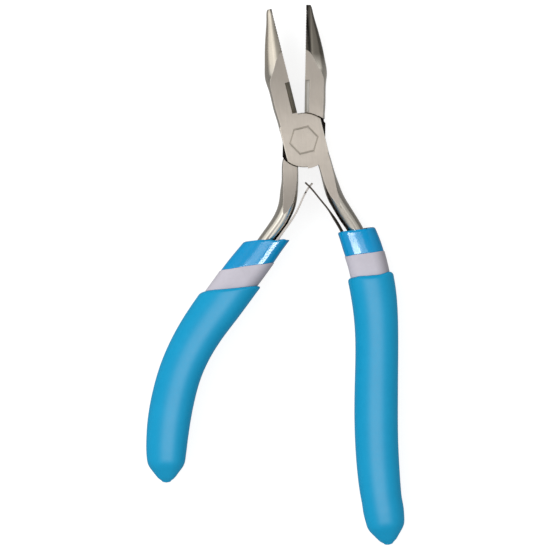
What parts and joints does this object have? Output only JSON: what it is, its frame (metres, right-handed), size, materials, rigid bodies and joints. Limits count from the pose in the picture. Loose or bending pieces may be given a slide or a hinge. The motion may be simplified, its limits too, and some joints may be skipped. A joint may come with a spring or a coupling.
{
  "type": "needle nose pliers",
  "caption": "Small long-nose pliers with a lap joint, side cutter, hooked double leaf return spring and two-stage cushioned hand grips.",
  "frame": {"origin": "on the pivot axis, in the flat ground face at the back of the joint", "axes": "+Z along the pivot from the back of the joint to its front, +Y from the pivot to the jaw tips along the line that halves the opening, +X to the right seen from the front"},
  "size_m": [0.0665, 0.1362, 0.0106],
  "materials": {
    "lever_steel": "satin ground flats, polished nose and shank",
    "rivet_steel": "satin",
    "spring_steel": "bright rolled",
    "sleeve_gloss_blue": "glossy dipped vinyl",
    "band_grey": "satin",
    "cushion_satin_blue": "satin soft vinyl"
  },
  "bodies": {
    "front_lever": {"lever_a": "lever_steel", "pivot_rivet": "rivet_steel", "spring_rivet_a": "rivet_steel", "grip_sleeve_a": "sleeve_gloss_blue", "grip_band_a": "band_grey", "grip_cushion_a": "cushion_satin_blue"},
    "rear_lever": {"lever_b": "lever_steel", "spring_rivet_b": "rivet_steel", "grip_sleeve_b": "sleeve_gloss_blue", "grip_band_b": "band_grey", "grip_cushion_b": "cushion_satin_blue"},
    "forked_leaf": {"leaf_spring_a": "spring_steel"},
    "tongue_leaf": {"leaf_spring_b": "spring_steel"}
  },
  "joints": [
    {"name": "jaw_pivot", "type": "hinge", "parent": "front_lever", "child": "rear_lever", "pos_m": [0, 0, 0], "axis": [0, 0, 1], "range_deg": [-5, 14.7], "stiffness_Nm_per_rad": 0.35},
    {"name": "forked_leaf_flex", "type": "hinge", "parent": "front_lever", "child": "forked_leaf", "pos_m": [0.0051, -0.01994, 0.004], "axis": [0, 0, 1], "range_deg": [-12, 4.5], "deforming": ["leaf_spring_a"]},
    {"name": "tongue_leaf_flex", "type": "hinge", "parent": "rear_lever", "child": "tongue_leaf", "pos_m": [-0.00559, -0.01977, 0.004], "axis": [0, 0, 1], "range_deg": [-4, 10.5], "deforming": ["leaf_spring_b"]}
  ],
  "couplings": [
    {"joint": "forked_leaf_flex", "follows": "jaw_pivot", "ratio": -0.71},
    {"joint": "tongue_leaf_flex", "follows": "jaw_pivot", "ratio": 0.61}
  ]
}
